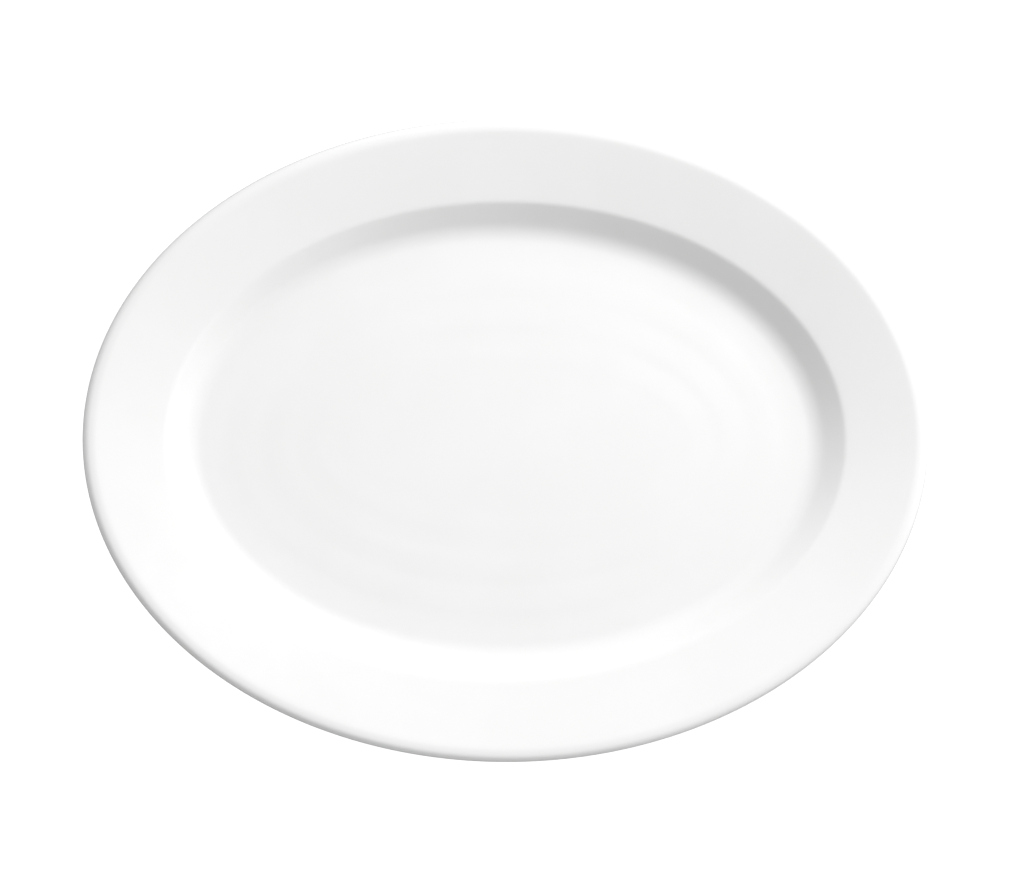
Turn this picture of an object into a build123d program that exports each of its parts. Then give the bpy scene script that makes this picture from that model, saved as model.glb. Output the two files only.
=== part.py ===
"""Oval china serving platter: a vitrified clay body under a fused glaze, in millimetres.

Every level of the platter is an ellipse, and from one level to the next both of its half-axes
change by the same amount, as an oval lathe makes them. One profile therefore describes the whole
shape: it is drawn across the short half-width, with r from the centre line and z upwards, and
turn_oval carries each of its points round an ellipse with half-axes r + STRETCH and r.

Frame: +Z up, the long axis along X, and the origin at the centre of the foot's resting plane.
"""

import math
import os

from build123d import *

# Overall size of the glazed platter
LENGTH = 330.0
WIDTH = 251.0
HEIGHT = 27.0
STRETCH = (LENGTH - WIDTH) / 2  # how much longer each ellipse's long half-axis is

# Glaze: one even coat, wiped off the foot before firing
GLAZE = 0.3
GLAZE_LINE = 1.2  # height where the glaze stops on both sides of the foot

# Clay body, seen from above
RIM_WIDTH = 31.7  # outer edge to the crease where the well begins
WALL_ANGLE = 43.0  # of the well's wall, in degrees from level
FLOOR_BEND = 11.5  # radius from floor to wall
RIM_CREASE = 5.0  # radius from wall to rim
FLOOR_THICKNESS = 5.0
WELL_DEPTH = 9.7  # floor to the crease
LIP_WIDTH = 4.2  # level top of the lip, before it is rounded
LIP_CREST = 6.0  # radius from rim to the top of the lip
LIP_ROLL = 2.5  # radius over the outer edge
LIP_UNDER = 1.5  # radius under the outer edge
LIP_THICKNESS = 4.8

# Clay body, seen from below
RIM_THICKNESS = 4.3  # measured straight down
WALL_THICKNESS = 5.0
BEAD_WIDTH = 8.2  # the thicker band under the lip
BEAD_DROP = 0.4  # how much its inner end lies below the lip's underside
BEAD_BLEND = 12.0
RIM_BACK_BEND = 9.0
WALL_BACK_BEND = 12.0
FOOT_HEIGHT = 3.0
FOOT_OUTER = 77.0  # short half-axis of the foot's outer edge, at the bottom
FOOT_WIDTH = 3.4  # of the ring that it rests on
FOOT_DRAFT = 0.6  # how far each side of the foot leans, over its height
FOOT_EDGE = 0.7  # radius along the foot's bottom edges
FOOT_BLEND = 1.6  # radius where the foot meets the base

CORE = 60.0  # floor and base are flat and level inside this short half-axis
TINY = 1e-6

# A quarter ellipse is a rational quadratic curve with these weights. Its control points, all the
# way round, are the middles and corners of a box about the ellipse.
QUARTER_WEIGHTS = [1.0, math.sqrt(0.5), 1.0]
BOX_STEPS = [(1, 0), (1, 1), (0, 1), (-1, 1), (-1, 0), (-1, -1), (0, -1), (1, -1), (1, 0)]


def rim_crease_point():
    """Where the lines of the wall and the rim would meet, as (r, z)."""
    return WIDTH / 2 - RIM_WIDTH, FOOT_HEIGHT + FLOOR_THICKNESS + WELL_DEPTH


def upper_outline():
    """The clay's upper side as (r, z, radius) corners, from the floor to the lip's outer edge."""
    floor = FOOT_HEIGHT + FLOOR_THICKNESS
    crease_r, crease_z = rim_crease_point()
    floor_corner_r = crease_r - WELL_DEPTH / math.tan(math.radians(WALL_ANGLE))
    edge = WIDTH / 2 - GLAZE
    top = HEIGHT - GLAZE
    return [
        (CORE, floor, 0),
        (floor_corner_r, floor, FLOOR_BEND),
        (crease_r, crease_z, RIM_CREASE),
        (edge - LIP_WIDTH, top, LIP_CREST),
        (edge, top, LIP_ROLL),
    ]


def lower_outline():
    """The clay's under side as (r, z, radius) corners, from the lip's outer edge to the base."""
    crease_r, crease_z = rim_crease_point()
    edge = WIDTH / 2 - GLAZE
    top = HEIGHT - GLAZE
    rim_slope = (top - crease_z) / (edge - LIP_WIDTH - crease_r)
    wall_slope = math.tan(math.radians(WALL_ANGLE))
    lip_bottom = top - LIP_THICKNESS

    # The back of the rim and the back of the wall are lines parallel to their upper sides.
    def rim_back(r):
        return crease_z + rim_slope * (r - crease_r) - RIM_THICKNESS

    wall_drop = WALL_THICKNESS / math.cos(math.radians(WALL_ANGLE))
    bend_r = crease_r + (wall_drop - RIM_THICKNESS) / (wall_slope - rim_slope)
    wall_foot_r = crease_r - (crease_z - wall_drop - FOOT_HEIGHT) / wall_slope
    bead_r = edge - BEAD_WIDTH
    foot_inner = FOOT_OUTER - FOOT_WIDTH
    return [
        (edge, lip_bottom, LIP_UNDER),
        (bead_r, min(lip_bottom - BEAD_DROP, rim_back(bead_r)), BEAD_BLEND),
        (bend_r, rim_back(bend_r), RIM_BACK_BEND),
        (wall_foot_r, FOOT_HEIGHT, WALL_BACK_BEND),
        (FOOT_OUTER + FOOT_DRAFT, FOOT_HEIGHT, FOOT_BLEND),
        (FOOT_OUTER, 0, FOOT_EDGE),
        (foot_inner, 0, FOOT_EDGE),
        (foot_inner - FOOT_DRAFT, FOOT_HEIGHT, FOOT_BLEND),
        (CORE, FOOT_HEIGHT, 0),
    ]


def clay_section():
    """The clay's cross-section outside CORE, as a flat face whose x is r and whose y is z."""
    corners = upper_outline() + lower_outline()
    points = [(r, z) for r, z, _ in corners]
    radii = [radius for _, _, radius in corners[1:-1]]
    outline = FilletPolyline(*points, radius=radii)
    return make_face([*outline.edges(), Line(points[-1], points[0])])


def glaze_sections(clay):
    """The coat on the clay: (the part over the face, lip and back, the part inside the foot)."""
    coat = offset(clay, GLAZE, kind=Kind.ARC) - clay
    bare_foot = Pos(FOOT_OUTER, GLAZE_LINE) * Rectangle(
        4 * FOOT_WIDTH, 4 * FOOT_WIDTH, align=(Align.CENTER, Align.MAX)
    )
    middle = Pos(CORE, HEIGHT / 2) * Rectangle(CORE, 2 * HEIGHT, align=(Align.MAX, Align.CENTER))
    inside, outside = (coat - bare_foot - middle).faces().sort_by(Face.area)
    return outside, inside


def quarter_point(r, z, k):
    """Control point k, of nine, of the ellipse through the profile point (r, z)."""
    x, y = BOX_STEPS[k]
    return Vector(x * (r + STRETCH), y * r, z)


def ellipse_at(r, z):
    """The closed wire of the ellipse that a profile point (r, z) is carried round."""
    points = [quarter_point(r, z, k) for k in range(9)]
    quarters = [
        Edge.make_bezier(*points[2 * k : 2 * k + 3], weights=QUARTER_WEIGHTS) for k in range(4)
    ]
    return Wire(quarters)


def control_polygon(edge):
    """A profile edge as rational control points: [(r, z, weight), ...]."""
    start, end = edge @ 0, edge @ 1
    if edge.geom_type == GeomType.LINE:
        return [(start.X, start.Y, 1.0), (end.X, end.Y, 1.0)]
    half_turn = edge.length / edge.radius / 2
    middle = start + (edge % 0) * edge.radius * math.tan(half_turn)
    return [
        (start.X, start.Y, 1.0),
        (middle.X, middle.Y, math.cos(half_turn)),
        (end.X, end.Y, 1.0),
    ]


def level_face(edge):
    """The flat face of a level profile edge: a ring, or a whole ellipse if it reaches CORE."""
    inner, outer = sorted([edge @ 0, edge @ 1], key=lambda point: point.X)
    holes = [] if inner.X < CORE + TINY else [ellipse_at(inner.X, inner.Y)]
    return Face(ellipse_at(outer.X, outer.Y), holes)


def curved_faces(edge):
    """The four quarters of the surface that any other profile edge leaves."""
    polygon = control_polygon(edge)
    weights = [[w * quarter for quarter in QUARTER_WEIGHTS] for _, _, w in polygon]
    return [
        Face.make_bezier_surface(
            [[quarter_point(r, z, 2 * k + step) for step in range(3)] for r, z, _ in polygon],
            weights,
        )
        for k in range(4)
    ]


def turn_oval(section):
    """The solid whose cross-section is section, turned round the oval, closed over the middle."""
    faces = []
    for edge in section.edges():
        start, end = edge @ 0, edge @ 1
        if max(start.X, end.X) < CORE + TINY:
            continue  # the cut at CORE, which the flat faces close
        level = edge.geom_type == GeomType.LINE and abs(start.Y - end.Y) < TINY
        faces += [level_face(edge)] if level else curved_faces(edge)
    return Solid(Shell(faces))


def main():
    clay = clay_section()
    outer_coat, inner_coat = glaze_sections(clay)
    parts = {
        "china_body": clay,
        "face_glaze": outer_coat,
        "base_glaze": inner_coat,
    }
    os.makedirs("parts", exist_ok=True)
    for name, section in parts.items():
        export_step(turn_oval(section), f"parts/{name}.step")


main()
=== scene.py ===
"""Oval china serving platter: its looks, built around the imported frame.

The clay and its glaze are drawn as fine cross-sections in millimetres, with r from the centre line and z
upwards, and carried round ellipses with half-axes r + STRETCH and r, as an oval lathe turns them. The CAD
boxes give the overall size. Lights, camera and floor are in metres.
"""

import math

import bpy
import numpy as np
from mathutils import Matrix, Vector, noise


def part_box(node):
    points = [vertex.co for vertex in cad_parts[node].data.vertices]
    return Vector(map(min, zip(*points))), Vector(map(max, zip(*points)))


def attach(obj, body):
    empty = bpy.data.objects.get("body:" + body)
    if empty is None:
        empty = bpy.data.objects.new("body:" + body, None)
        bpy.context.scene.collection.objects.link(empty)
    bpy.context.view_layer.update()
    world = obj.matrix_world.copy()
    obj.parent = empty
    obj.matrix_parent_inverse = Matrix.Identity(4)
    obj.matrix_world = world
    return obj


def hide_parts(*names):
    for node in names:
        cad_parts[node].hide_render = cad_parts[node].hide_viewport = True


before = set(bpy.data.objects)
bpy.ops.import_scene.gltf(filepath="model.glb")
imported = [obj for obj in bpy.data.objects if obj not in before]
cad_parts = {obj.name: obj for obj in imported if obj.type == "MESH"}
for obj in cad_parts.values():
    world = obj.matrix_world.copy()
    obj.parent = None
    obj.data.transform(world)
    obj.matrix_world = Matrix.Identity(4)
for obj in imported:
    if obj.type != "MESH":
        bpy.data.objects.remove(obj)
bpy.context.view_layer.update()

MM = 0.001

# ---------------------------------------------------------------- the platter's sizes, in millimetres

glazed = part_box("face_glaze")[1] / MM
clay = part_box("china_body")[1] / MM
STRETCH = glazed.x - glazed.y  # how much longer each ellipse's long half-axis is
GLAZE = glazed.z - clay.z
EDGE = clay.y  # short half-axis of the clay's outer edge
TOP = clay.z

# The clay seen from above, as in the CAD model
RIM_WIDTH = 31.7
WALL_ANGLE = math.radians(43.0)
FLOOR_BEND = 11.5
RIM_CREASE = 5.0
FLOOR_THICKNESS = 5.0
WELL_DEPTH = 9.7
LIP_WIDTH = 4.2
LIP_CREST = 6.0
LIP_ROLL = 2.5
LIP_UNDER = 1.5
LIP_THICKNESS = 4.8

# The clay seen from below
RIM_THICKNESS = 4.3
WALL_THICKNESS = 5.0
BEAD_WIDTH = 8.2
BEAD_DROP = 0.4
BEAD_BLEND = 12.0
RIM_BACK_BEND = 9.0
WALL_BACK_BEND = 12.0
FOOT_HEIGHT = 3.0
FOOT_OUTER = 77.0
FOOT_WIDTH = 3.4
FOOT_DRAFT = 0.6
FOOT_EDGE = 0.7
FOOT_BLEND = 1.6

# What making and firing do to it
SOFTENING = 0.45  # reach over which forming and fettling even the bends out
GLAZE_LINE = 1.2  # height where the glaze stops on both sides of the foot
COAT_EDGE = 1.4 * GLAZE  # how far from its edge the coat reaches its full thickness

# Relief in the face's glaze: slow waves, and forming rings on the floor
WAVE_HEIGHT = 0.012
WAVE_LENGTH = 28.0
RING_HEIGHT = 0.08
RING_SPACING = 15.0
FINE_RING_SPACING = RING_SPACING * 0.43
FINE_RING_SHARE = 0.25
RING_WANDER = 2.2  # how far the rings stray from true ellipses
RING_WANDER_LENGTH = 45.0
RING_FAINTEST = 0.35  # share of their height where they are faintest
RING_PATCH_LENGTH = 38.0
RINGS_BEGIN = (12.0, 45.0)  # going outwards, they grow to their full height between these r
RINGS_END = (FOOT_OUTER - 4, FOOT_OUTER + 4)  # and fade out between these

# Meshes
STEP = 0.1  # between the points of the fine outline
SEGMENTS = 300  # quads round each ellipse

# ---------------------------------------------------------------- finishes

GLAZE_IOR = 1.52
GLAZE_WHITE = (0.86, 0.86, 0.86)
GLAZE_WHITE_LOW = (0.85, 0.85, 0.848)
GLAZE_ROUGHNESS = (0.17, 0.22)
CLAY_IOR = 1.5
CLAY_LIGHT = (0.70, 0.68, 0.63)
CLAY_DARK = (0.62, 0.59, 0.53)
CLAY_SPECK = (0.36, 0.31, 0.25)
CLAY_ROUGHNESS = (0.55, 0.75)

# ---------------------------------------------------------------- camera, floor and light

SENSOR_WIDTH = 36.0  # in millimetres, as LENS is
LENS = 200.0
TILT_LEFT = math.radians(3.0)
TILT_FRONT = math.radians(4.0)
DISTANCE = 2.19
AIM = Vector((-0.0007, 0.0004, 0.018))

FLOOR_HALF = 30.0
FLOOR_GREY = 0.5
FLOOR_GLOW = 0.9

# Directions are (azimuth, elevation) in degrees, as towards() takes them.
SOFTBOX_DIRECTION = (48.0, 38.0)
SOFTBOX_DISTANCE = 0.85
SOFTBOX_SIZE = (0.42, 0.42)
SOFTBOX_POWER = 4.15
SURROUND = 0.86  # the surround's strength; the three shares below change it in their directions
DARK_DIRECTION = (-120, 0)
DARK_SHARE = 0.0
PALE_DIRECTION = (-50, -10)
PALE_SHARE = 1.6
OVERHEAD_DIRECTION = (0, 90)
OVERHEAD_SHARE = 0.93
BACKGROUND = 1.2  # strength of the plain white that the camera sees


# ---------------------------------------------------------------- outline of the clay


def clay_corners():
    """The clay's outline as (r, z, radius) corners, from mid-floor over the lip to mid-base."""
    floor = FOOT_HEIGHT + FLOOR_THICKNESS
    crease_r, crease_z = EDGE + GLAZE - RIM_WIDTH, floor + WELL_DEPTH
    wall_slope = math.tan(WALL_ANGLE)
    rim_slope = (TOP - crease_z) / (EDGE - LIP_WIDTH - crease_r)

    def rim_back(r):
        return crease_z + rim_slope * (r - crease_r) - RIM_THICKNESS

    wall_drop = WALL_THICKNESS / math.cos(WALL_ANGLE)
    bend_r = crease_r + (wall_drop - RIM_THICKNESS) / (wall_slope - rim_slope)
    wall_foot_r = crease_r - (crease_z - wall_drop - FOOT_HEIGHT) / wall_slope
    bead_r = EDGE - BEAD_WIDTH
    lip_bottom = TOP - LIP_THICKNESS
    foot_inner = FOOT_OUTER - FOOT_WIDTH
    return [
        (0, floor, 0),
        (crease_r - WELL_DEPTH / wall_slope, floor, FLOOR_BEND),
        (crease_r, crease_z, RIM_CREASE),
        (EDGE - LIP_WIDTH, TOP, LIP_CREST),
        (EDGE, TOP, LIP_ROLL),
        (EDGE, lip_bottom, LIP_UNDER),
        (bead_r, min(lip_bottom - BEAD_DROP, rim_back(bead_r)), BEAD_BLEND),
        (bend_r, rim_back(bend_r), RIM_BACK_BEND),
        (wall_foot_r, FOOT_HEIGHT, WALL_BACK_BEND),
        (FOOT_OUTER + FOOT_DRAFT, FOOT_HEIGHT, FOOT_BLEND),
        (FOOT_OUTER, 0, FOOT_EDGE),
        (foot_inner, 0, FOOT_EDGE),
        (foot_inner - FOOT_DRAFT, FOOT_HEIGHT, FOOT_BLEND),
        (0, FOOT_HEIGHT, 0),
    ]


def rounded(corners):
    """A fine polyline through the corners, each rounded to its radius."""
    points = [np.array(corners[0][:2], float)]
    for before, (r, z, radius), after in zip(corners, corners[1:], corners[2:]):
        corner = np.array([r, z], float)
        arrive = corner - before[:2]
        leave = after[:2] - corner
        arrive /= np.linalg.norm(arrive)
        leave /= np.linalg.norm(leave)
        turn = math.acos(np.clip(arrive @ leave, -1, 1))
        start = corner - arrive * radius * math.tan(turn / 2)
        side = np.array([-arrive[1], arrive[0]])
        side *= math.copysign(1, side @ leave)
        centre = start + side * radius
        for angle in np.linspace(0, turn, max(3, int(radius * turn / STEP))):
            points.append(centre - side * radius * math.cos(angle) + arrive * radius * math.sin(angle))
    points.append(np.array(corners[-1][:2], float))
    points = np.array(points)
    along = distances(points)
    return at_places(points, along, np.linspace(0, along[-1], int(along[-1] / STEP) + 1))


def distances(points):
    """The distance along a polyline at each of its points."""
    return np.concatenate([[0], np.cumsum(np.linalg.norm(np.diff(points, axis=0), axis=1))])


def at_places(points, along, places):
    """The polyline's points at these distances along it."""
    return np.column_stack([np.interp(places, along, points[:, k]) for k in (0, 1)])


def smoothed(points, reach):
    """The polyline with its curvature evened out over about reach, its two ends kept."""
    count = int(3 * reach / STEP)
    weights = np.exp(-0.5 * (np.arange(-count, count + 1) * STEP / reach) ** 2)
    weights /= weights.sum()
    before = 2 * points[0] - points[count:0:-1]
    after = 2 * points[-1] - points[-2 : -count - 2 : -1]
    padded = np.vstack([before, points, after])
    return np.column_stack([np.convolve(padded[:, k], weights, "valid") for k in (0, 1)])


def normals(points):
    """The unit normal at each point of an outline, pointing out of the clay."""
    along = np.gradient(points, axis=0)
    along /= np.linalg.norm(along, axis=1)[:, None]
    return np.column_stack([-along[:, 1], along[:, 0]])


def thinned(points, flat=2.0, bend=0.1):
    """The polyline with points at most flat apart, and closer where it bends, about bend radians each."""
    along = distances(points)
    tangent = np.gradient(points, axis=0)
    heading = np.unwrap(np.arctan2(tangent[:, 1], tangent[:, 0]))
    bending = np.abs(np.gradient(heading, along))
    reach = min(6, len(points) // 4)
    kernel = np.ones(2 * reach + 1) / (2 * reach + 1)
    bending = np.convolve(np.pad(bending, reach, mode="edge"), kernel, "valid")
    share = np.concatenate([[0], np.cumsum(np.diff(along) * (1 / flat + (bending / bend)[1:]))])
    places = np.interp(np.linspace(0, share[-1], int(share[-1]) + 2), share, along)
    return at_places(points, along, places)


def coat_outline(clay_line, line_at_start):
    """The glaze on an open stretch of the clay's outline, as (its surface, its underside).

    The coat thins to a rounded edge at the glaze line, which is at the stretch's start or at its end, and
    its other end lies on the centre line. Both lines run from the centre line to the glaze line.
    """
    if line_at_start:
        clay_line = clay_line[::-1]
        side = -1
    else:
        side = 1
    to_line = distances(clay_line)[-1] - distances(clay_line)
    thickness = GLAZE * np.sqrt(1 - np.clip(1 - to_line / COAT_EDGE, 0, 1) ** 2)
    surface = clay_line + side * normals(clay_line) * thickness[:, None]
    return thinned(surface), thinned(clay_line, flat=4.0, bend=0.25)


# ---------------------------------------------------------------- meshes


def turn_oval(name, profile, material, relief=None):
    """A closed all-quad piece: the profile, which starts and ends at r = 0, carried round the oval."""
    angles = np.linspace(0, 2 * math.pi, SEGMENTS, endpoint=False)
    half = SEGMENTS // 2
    vertices, rings = [], []
    for r, z in profile:
        if r > STEP / 2:
            rings.append([len(vertices) + k for k in range(SEGMENTS)])
            vertices += [((r + STRETCH) * math.cos(a), r * math.sin(a), z) for a in angles]
        else:  # the ellipse is folded flat, and its two sides share their vertices
            rings.append([len(vertices) + min(k, SEGMENTS - k) for k in range(SEGMENTS)])
            vertices += [(STRETCH * math.cos(a), 0, z) for a in angles[: half + 1]]
    if relief:
        vertices = [relief(Vector(v)) for v in vertices]
    faces = [
        (here[k], here[(k + 1) % SEGMENTS], there[(k + 1) % SEGMENTS], there[k])
        for here, there in zip(rings[1:], rings)
        for k in range(SEGMENTS)
    ]
    mesh = bpy.data.meshes.new(name)
    mesh.from_pydata([Vector(v) * MM for v in vertices], [], faces)
    mesh.polygons.foreach_set("use_smooth", [True] * len(mesh.polygons))
    mesh.materials.append(material)
    piece = add(bpy.data.objects.new(name, mesh))
    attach(piece, "root")
    return piece


def oval_radius(x, y):
    """The r of the ellipse of the platter's family that passes through (x, y)."""
    low, high = 0.0, EDGE + GLAZE
    for _ in range(24):
        r = (low + high) / 2
        outside = (x / (r + STRETCH)) ** 2 + (y / max(r, STEP)) ** 2 > 1
        low, high = (r, high) if outside else (low, r)
    return (low + high) / 2


def fade(value, start, end):
    """0 at start, 1 at end, smooth between."""
    t = min(1, max(0, (value - start) / (end - start)))
    return t * t * (3 - 2 * t)


def ring_relief(x, y, r):
    """How far the forming rings lower the floor's glaze at (x, y), on the ellipse r; never above 0."""
    wander = RING_WANDER * noise.noise(Vector((x, y, 40)) / RING_WANDER_LENGTH)
    patch = fade(noise.noise(Vector((x, y, 90)) / RING_PATCH_LENGTH), -0.25, 0.35)
    strength = RING_FAINTEST + (1 - RING_FAINTEST) * patch
    ring = math.sin(2 * math.pi * (r + wander) / RING_SPACING)
    fine = math.sin(2 * math.pi * (r - wander) / FINE_RING_SPACING)
    floor_share = fade(r, *RINGS_BEGIN) * (1 - fade(r, *RINGS_END))
    level = (1 - FINE_RING_SHARE) * ring + FINE_RING_SHARE * fine - 1
    return RING_HEIGHT * strength * floor_share * level


def face_relief(point):
    """A point of the face's glaze, lowered by the slow waves and the forming rings.

    The floor's underside, which lies on the clay, stays where it is. Nothing is raised, so the piece stays
    inside the CAD box.
    """
    if point.z < FOOT_HEIGHT + FLOOR_THICKNESS + GLAZE / 2:
        return point
    height = WAVE_HEIGHT * (noise.noise(point / WAVE_LENGTH) - 1)
    r = oval_radius(point.x, point.y)
    if r < RINGS_END[1]:
        height += ring_relief(point.x, point.y, r)
    return point + Vector((0, 0, height))


# ---------------------------------------------------------------- materials


class Shader:
    """A material's node tree, with a Principled shader and short ways to add and join nodes."""

    def __init__(self, name):
        self.material = bpy.data.materials.new(name)
        self.material.use_nodes = True
        self.tree = self.material.node_tree
        self.surface = self.tree.nodes["Principled BSDF"]
        self.place = self.tree.nodes.new("ShaderNodeTexCoord").outputs["Object"]

    def set(self, **values):
        """Set sockets of the Principled shader to constants; a name's spaces are written as underscores."""
        for socket, value in values.items():
            self.surface.inputs[socket.replace("_", " ")].default_value = value

    def join(self, output, socket):
        self.tree.links.new(output, self.surface.inputs[socket])

    def noise(self, feature, detail=2.0, roughness=0.5):
        """A noise whose features are about that many millimetres across."""
        node = self.tree.nodes.new("ShaderNodeTexNoise")
        node.inputs["Scale"].default_value = 1 / (feature * MM)
        node.inputs["Detail"].default_value = detail
        node.inputs["Roughness"].default_value = roughness
        self.tree.links.new(self.place, node.inputs["Vector"])
        return node.outputs["Fac"]

    def blend(self, share, first, second):
        """A colour between first and second; either may be a socket."""
        node = self.tree.nodes.new("ShaderNodeMix")
        node.data_type = "RGBA"
        self.tree.links.new(share, node.inputs["Factor"])
        for socket, value in ((6, first), (7, second)):  # the node's two colour sockets
            if isinstance(value, tuple):
                node.inputs[socket].default_value = (*value, 1)
            else:
                self.tree.links.new(value, node.inputs[socket])
        return node.outputs[2]

    def bump(self, height, depth, under=None):
        """A bump whose height runs over depth millimetres, on top of another bump."""
        node = self.tree.nodes.new("ShaderNodeBump")
        node.inputs["Distance"].default_value = depth * MM
        self.tree.links.new(height, node.inputs["Height"])
        if under:
            self.tree.links.new(under, node.inputs["Normal"])
        return node.outputs["Normal"]


def ramp(tree, source, low, high, start, end):
    """source mapped smoothly from low..high to start..end, which are numbers."""
    node = tree.nodes.new("ShaderNodeMapRange")
    node.interpolation_type = "SMOOTHSTEP"
    tree.links.new(source, node.inputs["Value"])
    for socket, value in zip(("From Min", "From Max", "To Min", "To Max"), (low, high, start, end)):
        node.inputs[socket].default_value = value
    return node.outputs["Result"]


def times(tree, first, second):
    """The product of two sockets."""
    node = tree.nodes.new("ShaderNodeMath")
    node.operation = "MULTIPLY"
    tree.links.new(first, node.inputs[0])
    tree.links.new(second, node.inputs[1])
    return node.outputs[0]


def glaze_material():
    """Bright white fired glaze: glossy, barely uneven, with clouds that are a touch darker and warmer."""
    shader = Shader("white_glaze")
    shader.set(IOR=GLAZE_IOR)
    cloud = ramp(shader.tree, shader.noise(34, detail=3), 0.35, 0.65, 0, 1)
    shader.join(shader.blend(cloud, GLAZE_WHITE, GLAZE_WHITE_LOW), "Base Color")
    shader.join(ramp(shader.tree, shader.noise(9, detail=4), 0.3, 0.7, *GLAZE_ROUGHNESS), "Roughness")
    peel = shader.bump(shader.noise(1.6, detail=1), 0.0012)
    swell = shader.bump(shader.noise(11, detail=1), 0.006, under=peel)
    shader.join(swell, "Normal")
    return shader.material


def bisque_material():
    """Bare vitrified clay, ground smooth where it stands: matt, faintly warm, with fine grit and specks."""
    shader = Shader("bare_china")
    shader.set(IOR=CLAY_IOR)
    cloud = ramp(shader.tree, shader.noise(6, detail=4), 0.35, 0.65, 0, 1)
    ground = shader.blend(cloud, CLAY_LIGHT, CLAY_DARK)
    specks = ramp(shader.tree, shader.noise(0.7, detail=0), 0.70, 0.74, 0, 1)
    shader.join(shader.blend(specks, ground, CLAY_SPECK), "Base Color")
    shader.join(ramp(shader.tree, shader.noise(2, detail=3), 0.3, 0.7, *CLAY_ROUGHNESS), "Roughness")
    shader.join(shader.bump(shader.noise(0.35, detail=3, roughness=0.7), 0.04), "Normal")
    return shader.material


# ---------------------------------------------------------------- the platter


def add(thing):
    bpy.context.scene.collection.objects.link(thing)
    return thing


def build_platter():
    outline = smoothed(rounded(clay_corners()), SOFTENING)
    lip = int(np.argmax(outline[:, 0]))
    foot = int(np.argmin(outline[:, 1]))
    outer_line = next(i for i in range(lip, foot) if outline[i, 1] < GLAZE_LINE)
    inner_line = next(i for i in range(foot, len(outline)) if outline[i, 1] > GLAZE_LINE)
    glaze, bisque = glaze_material(), bisque_material()

    body = turn_oval("clay_body", thinned(outline), bisque)
    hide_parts("china_body")

    surface, under = coat_outline(outline[: outer_line + 1], line_at_start=False)
    face = turn_oval("face_glaze_coat", np.vstack([surface, under[::-1]]), glaze, face_relief)
    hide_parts("face_glaze")

    surface, under = coat_outline(outline[inner_line:], line_at_start=True)
    base = turn_oval("base_glaze_coat", np.vstack([under, surface[::-1]]), glaze)
    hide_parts("base_glaze")


# ---------------------------------------------------------------- stage, camera and light


def build_floor():
    """A plain floor. It glows for the camera alone, so it looks white and its shadows stay faint."""
    mesh = bpy.data.meshes.new("floor")
    corners = [(x * FLOOR_HALF, y * FLOOR_HALF, 0) for x, y in ((-1, -1), (1, -1), (1, 1), (-1, 1))]
    mesh.from_pydata(corners, [], [(0, 1, 2, 3)])
    shader = Shader("floor_white")
    shader.set(Base_Color=(FLOOR_GREY, FLOOR_GREY, FLOOR_GREY, 1), Roughness=1.0, Specular_IOR_Level=0.0)
    ray = shader.tree.nodes.new("ShaderNodeLightPath")
    glow = shader.tree.nodes.new("ShaderNodeMath")
    glow.operation = "MULTIPLY"
    glow.inputs[1].default_value = FLOOR_GLOW
    shader.tree.links.new(ray.outputs["Is Camera Ray"], glow.inputs[0])
    shader.set(Emission_Color=(1, 1, 1, 1))
    shader.join(glow.outputs[0], "Emission Strength")
    mesh.materials.append(shader.material)
    add(bpy.data.objects.new("floor", mesh))


def build_camera():
    """Almost straight above, a little towards the front left, with the platter's long axis level."""
    back = Vector((-math.tan(TILT_LEFT), -math.tan(TILT_FRONT), 1)).normalized()
    right = (Vector((1, 0, 0)) - back * back.x).normalized()
    data = bpy.data.cameras.new("camera")
    data.sensor_width = SENSOR_WIDTH
    data.lens = LENS
    camera = add(bpy.data.objects.new("camera", data))
    place = Matrix((right, back.cross(right), back)).transposed().to_4x4()
    place.translation = AIM + back * DISTANCE
    camera.matrix_world = place
    bpy.context.scene.camera = camera


def towards(azimuth, elevation):
    """The unit vector to a direction in degrees: azimuth from +X towards +Y, elevation above level."""
    a, e = math.radians(azimuth), math.radians(elevation)
    return Vector((math.cos(e) * math.cos(a), math.cos(e) * math.sin(a), math.sin(e)))


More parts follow.
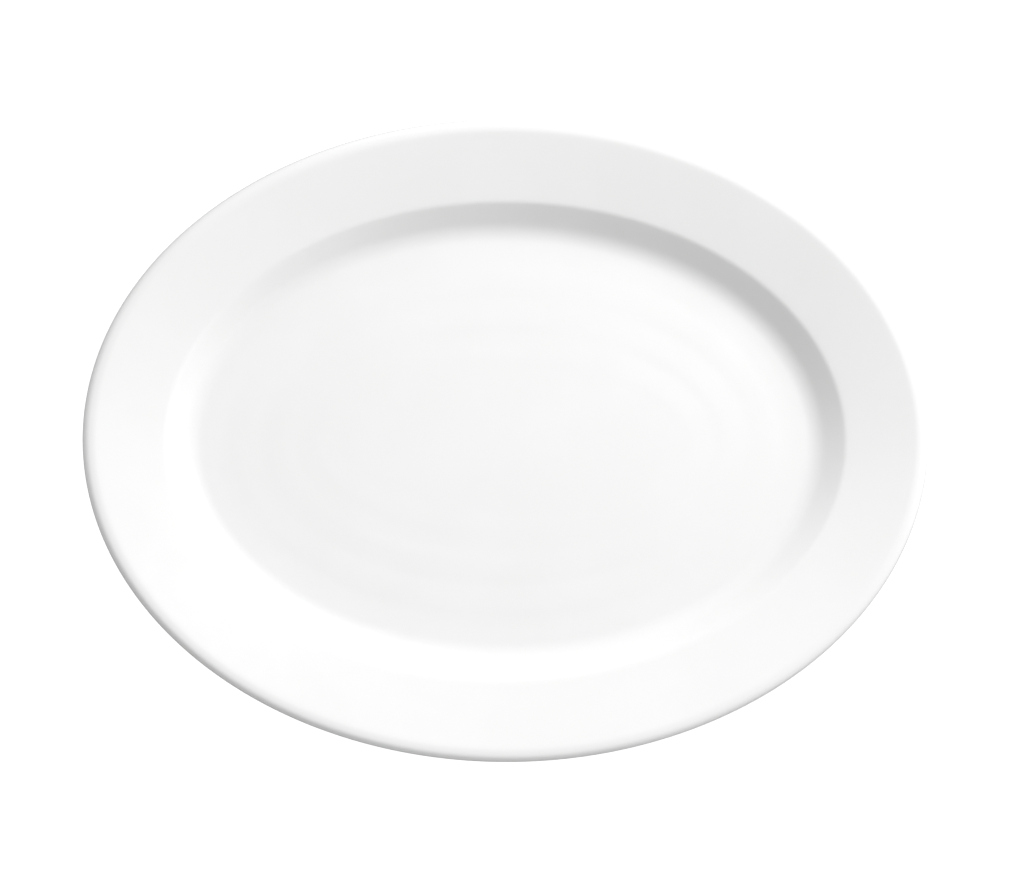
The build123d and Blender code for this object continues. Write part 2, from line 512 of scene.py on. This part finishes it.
def build_softbox():
    """One soft light at the back right, aimed at the middle of the foot."""
    data = bpy.data.lights.new("softbox", "AREA")
    data.shape = "RECTANGLE"
    data.size, data.size_y = SOFTBOX_SIZE
    data.energy = SOFTBOX_POWER
    softbox = add(bpy.data.objects.new("softbox", data))
    softbox.location = towards(*SOFTBOX_DIRECTION) * SOFTBOX_DISTANCE
    softbox.rotation_euler = (-softbox.location).to_track_quat("-Z", "Y").to_euler()


def build_surround():
    """The studio's soft surround: dark low at the front left, paler at the front right, a touch dimmer
    overhead, and plain white to the camera.
    """
    world = bpy.data.worlds.new("surround")
    bpy.context.scene.world = world
    world.use_nodes = True
    tree = world.node_tree
    room = tree.nodes["Background"]
    room.inputs["Color"].default_value = (1, 1, 1, 1)
    place = tree.nodes.new("ShaderNodeTexCoord").outputs["Generated"]

    def facing(direction, start, low, high):
        """Low, and high towards the direction, from where the angle's cosine passes start."""
        dot = tree.nodes.new("ShaderNodeVectorMath")
        dot.operation = "DOT_PRODUCT"
        dot.inputs[1].default_value = towards(*direction)
        tree.links.new(place, dot.inputs[0])
        return ramp(tree, dot.outputs["Value"], start, 0.95, low, high)

    dark_side = facing(DARK_DIRECTION, start=0.35, low=SURROUND, high=SURROUND * DARK_SHARE)
    pale_side = facing(PALE_DIRECTION, start=0.4, low=1.0, high=PALE_SHARE)
    overhead = facing(OVERHEAD_DIRECTION, start=0.3, low=1.0, high=OVERHEAD_SHARE)
    strength = times(tree, times(tree, dark_side, pale_side), overhead)
    tree.links.new(strength, room.inputs["Strength"])
    plain = tree.nodes.new("ShaderNodeBackground")
    plain.inputs["Color"].default_value = (1, 1, 1, 1)
    plain.inputs["Strength"].default_value = BACKGROUND
    choose = tree.nodes.new("ShaderNodeMixShader")
    ray = tree.nodes.new("ShaderNodeLightPath")
    tree.links.new(ray.outputs["Is Camera Ray"], choose.inputs["Fac"])
    tree.links.new(room.outputs[0], choose.inputs[1])
    tree.links.new(plain.outputs[0], choose.inputs[2])
    tree.links.new(choose.outputs[0], tree.nodes["World Output"].inputs["Surface"])


build_platter()
build_floor()
build_camera()
build_softbox()
build_surround()
bpy.context.scene.view_settings.view_transform = "Standard"
